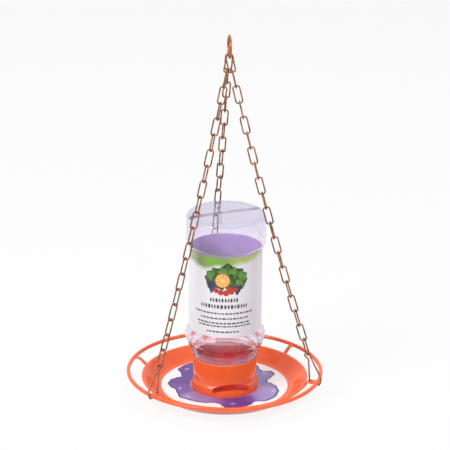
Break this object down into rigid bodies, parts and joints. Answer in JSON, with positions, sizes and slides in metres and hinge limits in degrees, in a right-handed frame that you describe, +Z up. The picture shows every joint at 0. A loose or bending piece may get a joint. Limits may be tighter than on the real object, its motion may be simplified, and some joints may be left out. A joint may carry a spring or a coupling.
{
  "type": "oriole feeder",
  "caption": "Hanging jelly feeder: an upturned clear bottle in an orange ported collar, on a round orange tray with a perch ring, hung by copper chains.",
  "frame": {"origin": "centre of the tray's flat underside", "axes": "+Z up along the bottle's axis; seen in the picture along +Y, with +X to the right"},
  "size_m": [0.231, 0.2311, 0.4266],
  "materials": {
    "orange_plastic": "moulded, soft gloss",
    "clear_plastic": "clear with a lilac tint",
    "printed_sleeve": "white printed sleeve",
    "printed_card": "white card with a purple print",
    "copper_wire": "copper plated steel wire"
  },
  "bodies": {
    "hanger": {"hanging_ring": "copper_wire"},
    "feeder": {"tray": "orange_plastic", "tray_card": "printed_card", "port_collar": "orange_plastic", "chain_right": "copper_wire", "chain_back": "copper_wire", "chain_left": "copper_wire", "clip_right": "copper_wire", "clip_back": "copper_wire", "clip_left": "copper_wire"},
    "bottle": {"bottle": "clear_plastic", "bottle_label": "printed_sleeve"}
  },
  "joints": [
    {"name": "feeder_swing", "type": "hinge", "parent": "hanger", "child": "feeder", "pos_m": [0.00156, -0.00138, 0.40071], "axis": [-0.1132, 0.9936, 0], "range_deg": [-20, 20]},
    {"name": "bottle_turn", "type": "hinge", "parent": "feeder", "child": "bottle", "pos_m": [0, 0, 0.0432], "axis": [0, 0, 1], "range_deg": [0, 360]}
  ]
}
